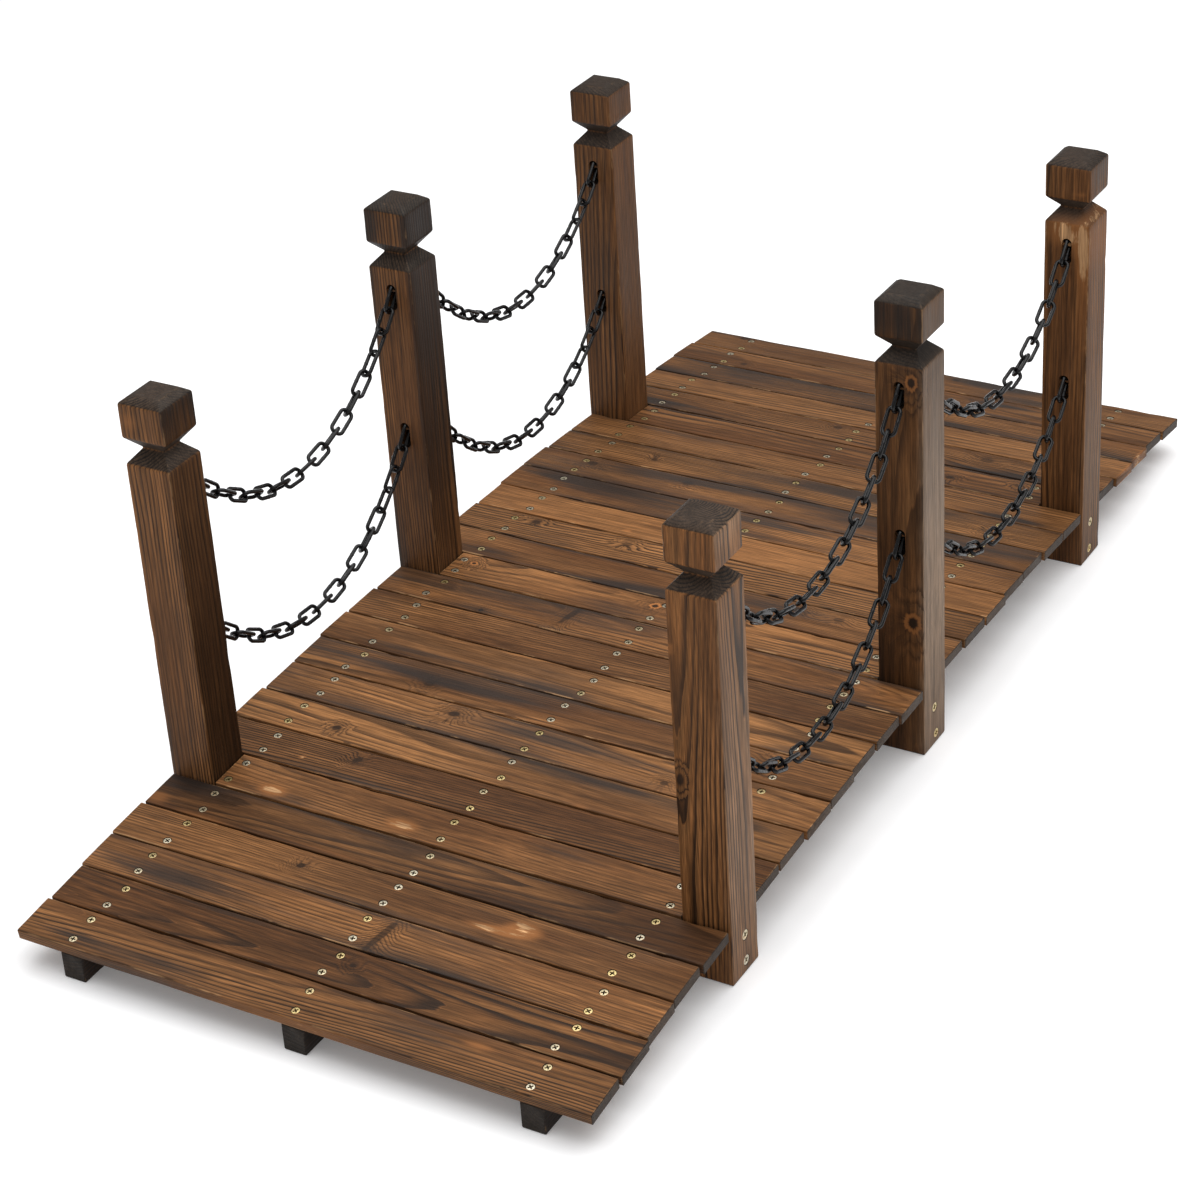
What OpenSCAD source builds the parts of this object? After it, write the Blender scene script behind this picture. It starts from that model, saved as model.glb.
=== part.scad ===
// Arched garden footbridge: a plank deck on three arc-topped stringers, six posts with
// turned-block finials, and two rows of hanging chain between the posts on each side.
// Millimetres. +Y runs along the bridge, +X across it, +Z up. The origin is on the ground
// under the middle of the deck.

/* [Bridge] */
// Length of the deck, end to end
bridge_length = 1500; // [1250:10:1900]
// Width over the outer faces of the posts
bridge_width = 670; // [540:5:820]
// Height of the walking surface above the ground at either end
deck_end_height = 43; // [36:1:60]
// How far the middle of the deck is above its ends
deck_rise = 42.5; // [30:0.5:60]

/* [Deck planks] */
// Thickness of a plank
plank_thickness = 12; // [9:0.5:16]
// Gap between neighbouring planks
plank_gap = 2; // [1:0.5:4]
// Whole planks between an end of the deck and the nearest posts
planks_per_end = 5; // [4:1:6]
// Whole planks between two pairs of posts
planks_per_bay = 7; // [6:1:8]
// Gap between the end of a short plank and the post beside it
short_plank_end_gap = 1; // [0.5:0.5:3]
// How far the ends of the planks wander from one line
plank_stagger = 2; // [0:0.5:4]
// Eased edge along the top of each plank
plank_edge = 1.5; // [0.5:0.5:3]

/* [Stringers] */
// Thickness of a stringer
stringer_thickness = 27; // [20:1:34]
// How far a stringer's end stands back from the end of the deck
stringer_inset = 2; // [0:1:10]

/* [Posts] */
// Side of the square posts
post_size = 54; // [45:1:65]
// Distance between neighbouring posts, centre to centre
post_pitch = 450; // [380:5:500]
// Shoulder of the middle posts above the deck beside them
middle_post_rise = 380; // [320:5:460]
// Shoulder of the end posts above the deck beside them
end_post_rise = 368; // [310:5:450]
// Eased vertical edges of the posts
post_edge = 1.5; // [0.5:0.5:3]
// Side of the square neck at the bottom of the groove
neck_size = 26; // [20:1:32]
// Height from the shoulder to the neck, and from the neck to the finial block
groove_half_height = 15; // [10:1:20]
// Height of the finial block's upright faces
finial_side = 38; // [30:1:48]
// Height of the sloping band round the finial's top
finial_cap_height = 7; // [4:1:12]
// Width of that band, seen from above
finial_cap_slope = 9; // [5:1:14]

/* [Chain slots] */
// Width of a slot
slot_width = 12; // [9:0.5:16]
// Room above and below the end link in its slot
slot_clearance = 1.5; // [1:0.25:3]
// Top of the upper chain's hold below the shoulder
upper_hold_drop = 25; // [20:1:40]
// Distance from the upper row of chains to the lower one
chain_row_spacing = 172; // [140:2:200]

/* [Chains] */
// Thickness of the wire
link_wire = 4.4; // [3:0.2:5.4]
// Distance from one link to the next along the chain
link_pitch = 25.6; // [22:0.2:30]
// Width over a link
link_width = 18; // [15:0.5:20]
// Length of a chain over the straight distance between its pins
chain_slack = 1.18; // [1.1:0.01:1.25]
// Links over which a chain turns from its pin to its free lie
twist_links = 6; // [3:1:8]
// Thickness of the pins that the chains hang on
pin_diameter = 4; // [3:0.2:5]
// How far a chain's hold is inside the face of the post
pin_set_back = 7; // [6:0.5:9]

/* [Hidden] */
// Running clearances: link to link, and a face that only just meets its neighbour
link_clearance = 0.3;
seat_clearance = 0.2;
pin_clearance = 0.1;
free_lie = 45;
pin_embed = 10;
arc_facets = 1440;
bar_facets = 24;
bend_facets = 32;

half_length = bridge_length / 2;
half_width = bridge_width / 2;
deck_middle_height = deck_end_height + deck_rise;
// One circle carries the walking surface
deck_radius = (half_length * half_length + deck_rise * deck_rise) / (2 * deck_rise);
deck_centre_z = deck_middle_height - deck_radius;
seat_radius = deck_radius - plank_thickness;

function deck_slope(y) = asin(y / deck_radius);
function deck_z(y) = deck_centre_z + sqrt(deck_radius * deck_radius - y * y);

post_rows = [-post_pitch, 0, post_pitch];
post_x = half_width - post_size / 2;
function shoulder_z(row) =
    deck_z(post_rows[row]) + (row == 1 ? middle_post_rise : end_post_rise);

// Deck: each plank is [near edge, far edge, is it a short one between two posts]
function plank_run(from, to, count) =
    let (pitch = (to - from + plank_gap) / count)
    [for (i = [0:count - 1]) [from + i * pitch, from + (i + 1) * pitch - plank_gap, false]];
function post_plank(row) =
    [[post_rows[row] - post_size / 2, post_rows[row] + post_size / 2, true]];
bay_from = post_size / 2 + plank_gap;
// The planks beyond the end posts lean, so that their undersides come nearest the posts
end_plank_lean = plank_thickness * sin(deck_slope(post_pitch + bay_from));
end_run_from = post_pitch + bay_from + end_plank_lean;
planks = concat(
    plank_run(-half_length, -end_run_from, planks_per_end),
    post_plank(0),
    plank_run(post_rows[0] + bay_from, post_rows[1] - bay_from, planks_per_bay),
    post_plank(1),
    plank_run(post_rows[1] + bay_from, post_rows[2] - bay_from, planks_per_bay),
    post_plank(2),
    plank_run(end_run_from, half_length, planks_per_end)
);
function two_digits(i) = i < 10 ? str("0", i) : str(i);
function plank_name(i) = str("deck_plank_", two_digits(i + 1));

stringer_x = post_x - post_size / 2 - seat_clearance - stringer_thickness / 2;
stringers = [["stringer_left", -stringer_x], ["stringer_middle", 0], ["stringer_right", stringer_x]];

sides = [["left", -1], ["right", 1]];
row_names = ["front", "middle", "rear"];
row_levels = ["upper", "lower"];
function hold_z(row, level) = shoulder_z(row) - upper_hold_drop - level * chain_row_spacing;

// Chains: a catenary through the two places where the end links meet their pins
link_bend = (link_width - link_wire) / 2;
link_inner_length = link_pitch + link_clearance;
link_straight = link_inner_length - 2 * link_bend + link_wire;
chain_span = post_pitch - post_size + 2 * pin_set_back;
links_per_span = 2 * floor(chain_span * chain_slack / (2 * link_pitch)) + 1;
chain_length = links_per_span * link_pitch;

function sinh(x) = (exp(x) - exp(-x)) / 2;
function cosh(x) = (exp(x) + exp(-x)) / 2;
function asinh(x) = ln(x + sqrt(x * x + 1));
function atanh(x) = ln((1 + x) / (1 - x)) / 2;
// Half the span over the catenary's size: sinh(u) / u equals the ratio, found by halving
function catenary_u(ratio, low = 0.01, high = 4, turns = 40) =
    let (middle = (low + high) / 2)
    turns == 0 ? middle :
    sinh(middle) / middle < ratio ? catenary_u(ratio, middle, high, turns - 1) :
    catenary_u(ratio, low, middle, turns - 1);

// The joints of one span's links as [y, z], from the front pin to the rear one
function chain_joints(bay, level) =
    let (
        near = [post_rows[bay] + post_size / 2 - pin_set_back, hold_z(bay, level)],
        far = [near[0] + chain_span, hold_z(bay + 1, level)],
        rise = far[1] - near[1],
        u = catenary_u(sqrt(chain_length * chain_length - rise * rise) / chain_span),
        size = chain_span / (2 * u),
        lowest_y = near[0] + chain_span / 2 - size * atanh(rise / chain_length),
        lowest_s = -size * sinh((near[0] - lowest_y) / size),
        base_z = near[1] - size * cosh((near[0] - lowest_y) / size)
    )
    [for (i = [0:links_per_span])
        let (
            s = (i * link_pitch - lowest_s) / size,
            y = lowest_y + size * asinh(s)
        )
        [y, base_z + size * sqrt(s * s + 1)]];

// A pin lies just inside the end link that hangs on it
function unit(v) = v / norm(v);
function pin_centre(end, next) =
    end + unit(next - end) * (pin_diameter / 2 + link_clearance / 2);
// The pins in one post at one level
function post_pins(row, level) = concat(
    row > 0 ? let (j = chain_joints(row - 1, level), n = links_per_span)
        [pin_centre(j[n], j[n - 1])] : [],
    row < 2 ? let (j = chain_joints(row, level)) [pin_centre(j[0], j[1])] : []
);

// The slots clear the end link of the chain that hangs most steeply. Its outline has two round
// ends, centred near_end and far_end from its hold, and half a link's width in radius
near_end = (link_pitch - link_straight) / 2;
far_end = (link_pitch + link_straight) / 2;
end_radius = link_width / 2;
steepest_joints = chain_joints(0, 0);
steepest = steepest_joints[links_per_span] - steepest_joints[links_per_span - 1];
hang = atan2(steepest[1], steepest[0]);
far_out = far_end * cos(hang) - pin_set_back;
far_touch = far_out - end_radius * sin(hang);
slot_above = end_radius - near_end * sin(hang) + slot_clearance;
slot_below = slot_clearance + far_end * sin(hang) + (
    far_touch < 0 ? sqrt(end_radius * end_radius - far_out * far_out)
                  : end_radius * cos(hang) - far_touch * tan(hang)
);
slot_straight = slot_above + slot_below - slot_width;
slot_depth = pin_set_back - near_end * cos(hang) + end_radius + slot_clearance;

function chain_name(side, bay, level) =
    str("chain_", side, "_", bay == 0 ? "front" : "rear", "_", row_levels[level]);
function post_name(side, row) = str("post_", side, "_", row_names[row]);

// Stringer: straight on the ground, cut to the arc of the planks' undersides on top
module stringer(x) {
    color([0.17, 0.10, 0.06])
    translate([x - stringer_thickness / 2, 0, 0])
    rotate([90, 0, 90])
    linear_extrude(stringer_thickness)
    intersection() {
        translate([-half_length + stringer_inset, 0])
        square([bridge_length - 2 * stringer_inset, deck_middle_height]);
        translate([0, deck_centre_z]) circle(r = seat_radius, $fn = arc_facets);
    }
}

// Plank: laid across the stringers, square to the arc, with eased top edges
module deck_plank(i) {
    near = planks[i][0];
    far = planks[i][1];
    short = planks[i][2];
    middle = (near + far) / 2;
    tilt = deck_slope(middle);
    width = (far - near) / cos(tilt);
    length = short ? bridge_width - 2 * (post_size + short_plank_end_gap)
                   : bridge_width - 2 * plank_stagger - 1;
    shift = short ? 0 : plank_stagger * sin(97 * i);
    color([0.33, 0.20, 0.12])
    translate([shift - length / 2, middle, deck_z(middle)])
    rotate([-tilt, 0, 0])
    rotate([90, 0, 90])
    linear_extrude(length)
    polygon([
        [-width / 2, -plank_thickness],
        [width / 2, -plank_thickness],
        [width / 2, -plank_edge],
        [width / 2 - plank_edge, 0],
        [-width / 2 + plank_edge, 0],
        [-width / 2, -plank_edge]
    ]);
}

// Post: the same outline seen from the front and from the side
module post_outline(shoulder) {
    half = post_size / 2;
    neck_z = shoulder + groove_half_height;
    block_z = neck_z + groove_half_height;
    side_top = block_z + finial_side;
    top = side_top + finial_cap_height;
    right = [
        [half, 0], [half, shoulder], [neck_size / 2, neck_z], [half, block_z],
        [half, side_top], [half - finial_cap_slope, top]
    ];
    left = [for (i = [len(right) - 1:-1:0]) [-right[i][0], right[i][1]]];
    polygon(concat(right, left));
}

module post_plan() {
    half = post_size / 2;
    inner = half - post_edge;
    polygon([
        [half, -inner], [half, inner], [inner, half], [-inner, half],
        [-half, inner], [-half, -inner], [-inner, -half], [inner, -half]
    ]);
}

// Slot with round ends, cut along Y; the middle posts are slotted right through
module chain_slot(row, level) {
    reach = row == 1 ? post_size + 2 : slot_depth + 1;
    from = row == 0 ? post_size / 2 - slot_depth : -post_size / 2 - 1;
    translate([0, from, hold_z(row, level) + slot_above - slot_width / 2 - slot_straight]) {
        translate([-slot_width / 2, 0, 0]) cube([slot_width, reach, slot_straight]);
        for (end = [0, slot_straight])
            translate([0, 0, end])
            rotate([-90, 0, 0]) cylinder(h = reach, d = slot_width, $fn = bend_facets);
    }
}

module post(side, row) {
    shoulder = shoulder_z(row);
    full_height = shoulder + 2 * groove_half_height + finial_side + finial_cap_height;
    color([0.30, 0.17, 0.09])
    translate([side * post_x, post_rows[row], 0])
    difference() {
        intersection() {
            translate([0, post_size / 2, 0]) rotate([90, 0, 0])
            linear_extrude(post_size) post_outline(shoulder);
            translate([-post_size / 2, 0, 0]) rotate([90, 0, 90])
            linear_extrude(post_size) post_outline(shoulder);
            linear_extrude(full_height) post_plan();
        }
        for (level = [0, 1]) {
            chain_slot(row, level);
            for (pin = post_pins(row, level))
                translate([-post_size / 2 - 1, pin[0] - post_rows[row], pin[1]])
                rotate([0, 90, 0])
                cylinder(
                    h = post_size / 2 + 1 + slot_width / 2 + pin_embed,
                    d = pin_diameter + 2 * pin_clearance, $fn = bar_facets
                );
        }
    }
}

// One link, its length along X and its width along Y
module chain_link() {
    for (end = [-1, 1]) {
        translate([end * link_straight / 2, 0, 0])
        rotate([0, 0, -90 * end])
        rotate_extrude(angle = 180, $fn = bend_facets)
        translate([link_bend, 0]) circle(d = link_wire, $fn = bar_facets);
        translate([-link_straight / 2, end * link_bend, 0])
        rotate([0, 90, 0]) cylinder(h = link_straight, d = link_wire, $fn = bar_facets);
    }
}

// One span: upright links at both pins, each next link turned a quarter, and the whole chain
// easing round to its free lie with the links at 45 degrees
module chain(side, bay, level) {
    joints = chain_joints(bay, level);
    color([0.06, 0.06, 0.07])
    for (i = [0:links_per_span - 1]) {
        from_end = min(i, links_per_span - 1 - i) / twist_links;
        t = min(from_end, 1);
        twist = free_lie * t * t * (3 - 2 * t) * side;
        middle = (joints[i] + joints[i + 1]) / 2;
        along = joints[i + 1] - joints[i];
        translate([side * post_x, middle[0], middle[1]])
        rotate([atan2(along[1], along[0]), 0, 0])
        rotate([0, 0, 90])
        rotate([90 + 90 * i + twist, 0, 0])
        chain_link();
    }
}

module chain_pins() {
    color([0.55, 0.52, 0.45])
    for (s = sides) for (row = [0:2]) for (level = [0, 1]) for (pin = post_pins(row, level))
        translate([s[1] * post_x - post_size / 2 + 1, pin[0], pin[1]])
        rotate([0, 90, 0])
        cylinder(
            h = post_size / 2 - 1 + slot_width / 2 + pin_embed - seat_clearance,
            d = pin_diameter, $fn = bar_facets
        );
}

for (s = stringers) stringer(s[1]);
for (i = [0:len(planks) - 1]) deck_plank(i);
for (s = sides) for (row = [0:2])
    post(s[1], row);
for (s = sides) for (bay = [0:1]) for (level = [0:1])
    chain(s[1], bay, level);
chain_pins();
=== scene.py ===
"""The looks of a small arched footbridge: flame-darkened fir planks and posts, black welded
chain and yellow zinc screws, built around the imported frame. Metres, in the frame's own axes."""

import math

import bmesh
import bpy
import numpy as np
from mathutils import Matrix, Vector


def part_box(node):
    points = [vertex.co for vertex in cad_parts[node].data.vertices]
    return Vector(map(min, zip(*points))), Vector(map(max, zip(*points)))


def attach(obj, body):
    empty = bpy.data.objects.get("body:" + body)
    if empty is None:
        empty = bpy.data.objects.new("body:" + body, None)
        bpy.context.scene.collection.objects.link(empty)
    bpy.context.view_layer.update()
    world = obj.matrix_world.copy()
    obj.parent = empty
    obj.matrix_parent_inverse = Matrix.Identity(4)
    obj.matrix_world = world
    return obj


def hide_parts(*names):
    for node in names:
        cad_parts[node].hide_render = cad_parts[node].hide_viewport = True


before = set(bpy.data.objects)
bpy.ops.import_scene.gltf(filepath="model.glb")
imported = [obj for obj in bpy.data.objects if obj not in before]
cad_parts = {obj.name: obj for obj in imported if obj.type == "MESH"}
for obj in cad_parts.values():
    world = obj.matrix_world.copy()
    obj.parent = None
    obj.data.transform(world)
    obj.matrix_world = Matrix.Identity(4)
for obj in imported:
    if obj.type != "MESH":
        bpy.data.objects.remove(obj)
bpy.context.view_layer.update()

# ---- sizes, in metres
PLANKS = ["deck_plank_%02d" % n for n in range(1, 28)]
STRINGERS = ("stringer_left", "stringer_middle", "stringer_right")
POSTS = [f"post_{side}_{row}" for side in ("left", "right") for row in ("front", "middle", "rear")]
CHAINS = [
    f"chain_{side}_{row}_{level}"
    for side in ("left", "right") for row in ("front", "rear") for level in ("upper", "lower")
]
CUT_PAST = 0.002  # how far a cutter reaches past the wood

RING_STEP = 0.0045  # distance between two rings of a lofted plank
PLANK_ARRIS = 0.0011  # eased upper edge of a new plank
PLANK_EASE = 0.0007  # eased ends and lower edges
PLANK_SIDE_INSET = 0.00035  # how far the worn sides, top and end rings lie inside the CAD plank
PLANK_TOP_INSET = 0.00022
PLANK_END_INSET = 0.0006
ARRIS_TURNS = (1.18, 0.785, 0.39)  # points round an upper edge, from the top to the side
SIDE_SHARES = (0.0, 0.5, 0.97)  # points down a side, as shares of its height

STRINGER_STEP = 0.012  # distance between two rings of a stringer
STRINGER_EASE = 0.0012
STRINGER_INSET = 0.0002
STRINGER_END_INSET = 0.0010
ARC_BASE = 0.004  # a stringer's points above this height lie on its arc
STRINGER_TALL = 1.0  # stands in for half its height, so that its long edges show no wear

POST_ARRIS = 0.0011
POST_EASE = 0.0012  # chamfer round a post's foot
POST_CREASE = 0.0018  # rounding of the corners in a post's outline
POST_STEP = 0.006  # the longest step between two rings of a post
NECK_HALF = 0.013  # the square neck under a finial
GROOVE_HALF = 0.015  # shoulder to neck, and neck to block
FINIAL_SIDE = 0.038
CAP_HEIGHT = 0.007
CAP_SLOPE = 0.009
CROWN = 0.0004  # rise of the top face to its middle
SLOT_WIDTH = 0.012
SLOT_GAP = 0.03  # points farther apart than this belong to two slots
PIN_BORE = 0.0022

HEAD_RADIUS = 0.0044  # countersunk screw head
HEAD_SINK = 0.00035  # how far a head lies under the wood
DECK_HEAD_DROP = 0.00025  # and how much deeper the deck's heads lie
HEAD_CLEARANCE = 0.0004  # from a head to its hole
SCREW_REACH = 0.0145  # from the middle of a plank to either of its screws
SCREW_ROW_SHIFT = (0.0, -0.004, -0.007)
SCREW_END_MARGIN = 0.009
SCREW_SIDE_MARGIN = 0.008
POST_SCREW_RADIUS = HEAD_RADIUS * 1.28
POST_SCREW_HEIGHTS = (0.012, 0.046)

CORNER_BEND = 0.0054  # bend radius of a link's wire at each corner
WELD_HALF = 0.0012
WELD_SWELL = 1.10

FLOOR_HALF = 25
FLOOR_GLOW = 0.13  # the floor's own light, which brings it up to the photo's white
WORLD_LIGHT = 0.44
TOP_LIGHT_SIZE = 4.8
TOP_LIGHT_POWER = 175

# ---- colours, linear
EARLY_DARK = (0.078, 0.032, 0.0112, 1)
EARLY_LIGHT = (0.240, 0.108, 0.038, 1)
LATE = (0.023, 0.0115, 0.0058, 1)
CHAR = (0.0205, 0.0175, 0.016, 1)
END_LIGHT = (0.044, 0.032, 0.0235, 1)
END_DARK = (0.0135, 0.0115, 0.0100, 1)
WHITE = (1.0, 1.0, 1.0, 1)
# painted reflection: the grey a post's +X face shows where it mirrors the white floor
PAINTED_SHEEN_GREY = (0.26, 0.178, 0.118)
# painted shade for the screws' recesses and rims
SCREW_PAINTED_SHADE = (0.020, 0.014, 0.009, 1)
BARE = (0.50, 0.29, 0.14)
RUST = (0.36, 0.140, 0.042, 1)
ZINC_YELLOW = (0.62, 0.49, 0.22, 1)
ZINC_PALE = (0.60, 0.55, 0.42, 1)
ZINC_STAIN = (0.62, 0.42, 0.24, 1)
ENAMEL = (0.0025, 0.0025, 0.003, 1)
ENAMEL_DUSTY = (0.0075, 0.007, 0.007, 1)
ENAMEL_SCUFF = (0.16, 0.15, 0.14, 1)
PAPER_LOW = (0.90, 0.90, 0.91, 1)
PAPER_HIGH = (0.93, 0.93, 0.935, 1)

# ---- marks on particular pieces
# Each mark is (kind, along, across, half length, half width, amount), from the piece's middle
# or, on a post, from its foot. A wear mark with an amount below 0 paints a grey sheen on the wood,
# a painted reflection. A light mark lightens or darkens the wood: plain tone on planks, and painted
# light and shade on a post's +X face. Each knot is (along, across, long, wide, turn, strength), and a
# strength of 2 gives it an orange ring. A piece shows two knots at most. A plank that isn't listed gets
# random ones, and an empty list means none.
STAIN_AND_LIGHT_KINDS = ("char", "wear_and_sheen", "light")
NO_KNOT = (90.0, 90.0, 0.0)  # far from any knot, in knot sizes, and with no strength
PLANK_MARKS = {
    1: [("char", -0.28, -0.01, 0.06, 0.01, 0.42), ("char", -0.15, -0.009, 0.06, 0.008, 0.34),
        ("wear_and_sheen", 0.02, -0.027, 0.14, 0.0025, 0.6), ("wear_and_sheen", 0.19, 0.012, 0.02, 0.005, 0.75)],
    2: [("char", -0.15, 0.022, 0.11, 0.007, 0.45), ("char", 0.0, -0.015, 0.05, 0.01, 0.3)],
    3: [("char", -0.24, -0.011, 0.1, 0.011, 0.42), ("char", 0.1, 0.015, 0.08, 0.01, 0.25)],
    4: [("wear_and_sheen", 0.149, 0.006, 0.022, 0.011, 0.98), ("wear_and_sheen", 0.118, -0.005, 0.034, 0.006, 0.84),
        ("char", 0.1, 0.013, 0.06, 0.006, 0.45), ("light", 0.14, 0.0, 0.06, 0.016, 0.3)],
    5: [("wear_and_sheen", -0.325, -0.014, 0.018, 0.01, 0.75), ("wear_and_sheen", -0.26, -0.024, 0.05, 0.003, 0.75),
        ("wear_and_sheen", -0.09, -0.022, 0.09, 0.0025, 0.7), ("char", -0.3, 0.014, 0.05, 0.015, 0.3)],
    6: [("char", -0.2, -0.017, 0.1, 0.008, 0.55), ("wear_and_sheen", -0.215, -0.014, 0.02, 0.01, 0.95),
        ("wear_and_sheen", -0.055, -0.011, 0.022, 0.011, 0.92), ("char", 0.12, 0.015, 0.07, 0.01, 0.4)],
    7: [("char", -0.15, -0.021, 0.15, 0.007, 0.55), ("wear_and_sheen", -0.217, -0.009, 0.004, 0.004, 0.9)],
    9: [("char", 0.05, 0.01, 0.12, 0.012, 0.3)],
    10: [("char", -0.12, -0.002, 0.09, 0.01, 0.36)],
    12: [("char", 0.22, -0.015, 0.09, 0.009, 0.42)],
    13: [("char", -0.2, -0.02, 0.06, 0.007, 0.3)],
    14: [("char", -0.1, -0.01, 0.12, 0.014, 0.3)],
    16: [("light", -0.15, 0.01, 0.16, 0.02, 0.3)],
    17: [("wear_and_sheen", -0.132, -0.016, 0.006, 0.0035, 1.0)],
    19: [("char", -0.1, 0.016, 0.12, 0.008, 0.4)],
    20: [("char", 0.1, 0.015, 0.1, 0.009, 0.4)],
    22: [("char", 0.08, -0.018, 0.1, 0.008, 0.45)],
    24: [("wear_and_sheen", 0.334, 0.0, 0.005, 0.03, 0.9), ("char", -0.05, -0.015, 0.12, 0.01, 0.34)],
    25: [("wear_and_sheen", 0.334, 0.0, 0.005, 0.03, 0.85), ("char", 0.08, -0.018, 0.1, 0.008, 0.45)],
}
PLANK_KNOTS = {
    1: [],
    2: [(0.015, 0.006, 0.004, 0.003, 0.2, 0.9)],
    3: [(0.02, 0.001, 0.024, 0.0045, 1.37, 0.8)],
    4: [(-0.114, 0.004, 0.005, 0.0035, 0.4, 1.0)],
    5: [],
    6: [],
    7: [(-0.158, 0.0095, 0.0055, 0.004, 0.5, 1.0)],
    8: [(-0.212, -0.006, 0.005, 0.004, 1.0, 1.0)],
    9: [(-0.11, 0.01, 0.007, 0.005, 0.2, 1.0), (0.16, -0.012, 0.005, 0.004, 0.0, 0.8)],
    13: [(-0.094, 0.008, 0.02, 0.004, 1.35, 0.8), (-0.194, -0.022, 0.003, 0.003, 0.0, 1.0)],
    14: [(-0.255, 0.0095, 0.0042, 0.004, 0.0, 2.0), (-0.014, 0.009, 0.0055, 0.005, 0.3, 2.0)],
    16: [(-0.24, 0.018, 0.006, 0.003, 0.1, 0.7), (-0.114, 0.01, 0.007, 0.0035, 0.1, 0.7)],
    17: [],
}


# ---- seeded noise for geometry
NOISE_CELLS = 61  # cells along each side of the grid, which then repeats


def soft_noise(seed, a, b=0.0, step_a=0.05, step_b=0.05):
    """Smooth seeded noise from -1 to 1 over one or two lengths."""
    grid = np.random.default_rng(int(seed)).uniform(-1, 1, (NOISE_CELLS, NOISE_CELLS))
    pa, pb = np.broadcast_arrays(np.asarray(a) / step_a + 1000.3, np.asarray(b) / step_b + 1000.7)
    ia, ib = np.floor(pa).astype(int), np.floor(pb).astype(int)
    fa, fb = pa - ia, pb - ib
    fa, fb = fa * fa * (3 - 2 * fa), fb * fb * (3 - 2 * fb)

    def cell(i, j):
        return grid[i % NOISE_CELLS, j % NOISE_CELLS]

    low = cell(ia, ib) * (1 - fa) + cell(ia + 1, ib) * fa
    high = cell(ia, ib + 1) * (1 - fa) + cell(ia + 1, ib + 1) * fa
    return low * (1 - fb) + high * fb


def worn_radius(seed, along, new, chips=3, deepest=0.0022):
    """How far an arris is worn back, along its length."""
    rng = np.random.default_rng(int(seed) + 5)
    slow, fast = soft_noise(seed, along, 0, 0.035), soft_noise(seed + 1, along, 0, 0.009)
    r = new * (1 + 0.35 * slow + 0.2 * fast)
    for _ in range(chips):
        at, wide = rng.uniform(along.min(), along.max()), rng.uniform(0.003, 0.014)
        r = r + rng.uniform(0.2, 1.0) * deepest * np.exp(-(((along - at) / wide) ** 2))
    return np.clip(r, new * 0.5, new + deepest)


# ---- mesh helpers
def mesh_object(name, verts, faces):
    """A new mesh object in the scene."""
    mesh = bpy.data.meshes.new(name)
    mesh.from_pydata([tuple(v) for v in np.asarray(verts, float)], [], faces)
    made = bpy.data.objects.new(name, mesh)
    bpy.context.scene.collection.objects.link(made)
    return made


def tube_faces(count, around, closed=False):
    """Faces between rings of points, with flat ends, or closed from the last ring to the first."""
    faces = []
    for i in range(count if closed else count - 1):
        a, b = i * around, (i + 1) % count * around
        faces += [(a + j, a + (j + 1) % around, b + (j + 1) % around, b + j) for j in range(around)]
    if not closed:
        faces.append(tuple(range(around))[::-1])
        faces.append(tuple(range((count - 1) * around, count * around)))
    return faces


def loft(name, rings):
    """A closed body through rings of points."""
    made = mesh_object(name, rings.reshape(-1, 3), tube_faces(*rings.shape[:2]))
    face_outward(made.data)
    return made


def face_outward(mesh):
    bm = bmesh.new()
    bm.from_mesh(mesh)
    bmesh.ops.recalc_face_normals(bm, faces=bm.faces)
    bm.to_mesh(mesh)
    bm.free()


def smooth_shading(mesh, degrees):
    mesh.shade_smooth()
    mesh.set_sharp_from_angle(angle=math.radians(degrees))


def cut(target, pieces):
    """Cuts closed meshes, given as (verts, faces), out of an object."""
    verts, faces = [], []
    for more_verts, more_faces in pieces:
        base = len(verts)
        verts += [tuple(v) for v in more_verts]
        faces += [tuple(base + i for i in f) for f in more_faces]
    tool = mesh_object(target.name + "_tool", verts, faces)
    face_outward(tool.data)
    change = target.modifiers.new("cut", "BOOLEAN")
    change.operation, change.solver, change.object = "DIFFERENCE", "EXACT", tool
    graph = bpy.context.evaluated_depsgraph_get()
    result = bpy.data.meshes.new_from_object(target.evaluated_get(graph))
    target.modifiers.clear()
    old = target.data
    target.data = result
    bpy.data.meshes.remove(old)
    spare = tool.data
    bpy.data.objects.remove(tool)
    bpy.data.meshes.remove(spare)


def prism(outline, axis, start, end):
    """A closed prism: an outline of (a, b) points, swept from start to end along an axis 0, 1 or 2."""
    others = [i for i in range(3) if i != axis]
    verts = []
    for level in (start, end):
        for a, b in outline:
            v = [0.0, 0.0, 0.0]
            v[axis], v[others[0]], v[others[1]] = level, a, b
            verts.append(v)
    n = len(outline)
    faces = [tuple(range(n)), tuple(range(n, 2 * n))]
    faces += [(i, (i + 1) % n, n + (i + 1) % n, n + i) for i in range(n)]
    return verts, faces


def turned(profile, around, place):
    """A closed turned shape: (radius, height) points from bottom to top, set by a placing matrix."""
    verts = []
    for radius, height in profile:
        for j in range(around):
            t = 2 * math.pi * j / around
            verts.append(place @ Vector((radius * math.cos(t), radius * math.sin(t), height)))
    return verts, tube_faces(len(profile), around)


def vector_attribute(mesh, name, values):
    data = mesh.attributes.new(name, "FLOAT_VECTOR", "POINT").data
    data.foreach_set("vector", np.asarray(values, np.float32).ravel())


def points_of(mesh):
    """A mesh's points as rows of an array."""
    co = np.zeros(len(mesh.vertices) * 3)
    mesh.vertices.foreach_get("co", co)
    return co.reshape(-1, 3)


def cad_points(node):
    """A CAD node's points, each once."""
    return np.unique(np.round(points_of(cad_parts[node].data), 7), axis=0)


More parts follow.
